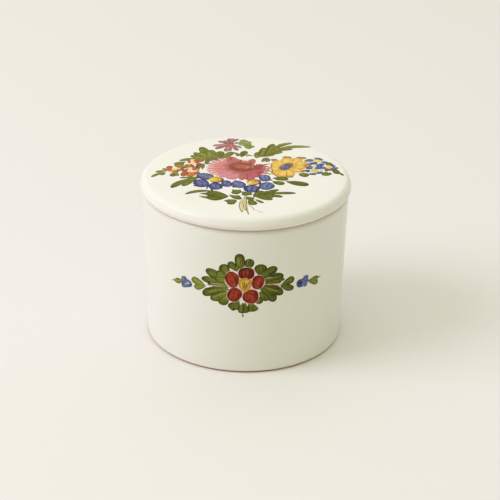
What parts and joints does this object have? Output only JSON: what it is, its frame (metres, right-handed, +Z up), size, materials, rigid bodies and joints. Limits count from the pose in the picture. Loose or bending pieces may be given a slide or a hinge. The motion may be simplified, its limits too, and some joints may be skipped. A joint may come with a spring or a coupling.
{
  "type": "butter crock",
  "caption": "Low glazed butter crock with a flat loose lid; a bell fixed under the lid holds butter upside down over water in the jar. Hand-painted flowers.",
  "frame": {"origin": "middle of the crock's standing face, on the table", "axes": "+Z up along the crock's axis; -Y towards the front, where the painted sprig is"},
  "size_m": [0.1092, 0.1092, 0.0887],
  "materials": {
    "ivory_glaze": "glossy ivory-white glaze over earthenware",
    "bare_clay": "unglazed reddish brown clay, matte",
    "flower_paint": "hand-painted glaze colours, glossy"
  },
  "bodies": {
    "crock": {"crock": "ivory_glaze", "foot_ring": "bare_clay"},
    "lid": {"lid": "ivory_glaze", "locating_ring": "ivory_glaze", "butter_bell": "ivory_glaze"}
  },
  "joints": [
    {"name": "lid_lift", "type": "slide", "parent": "crock", "child": "lid", "axis": [0, 0, 1], "range_m": [0, 0.1]}
  ]
}
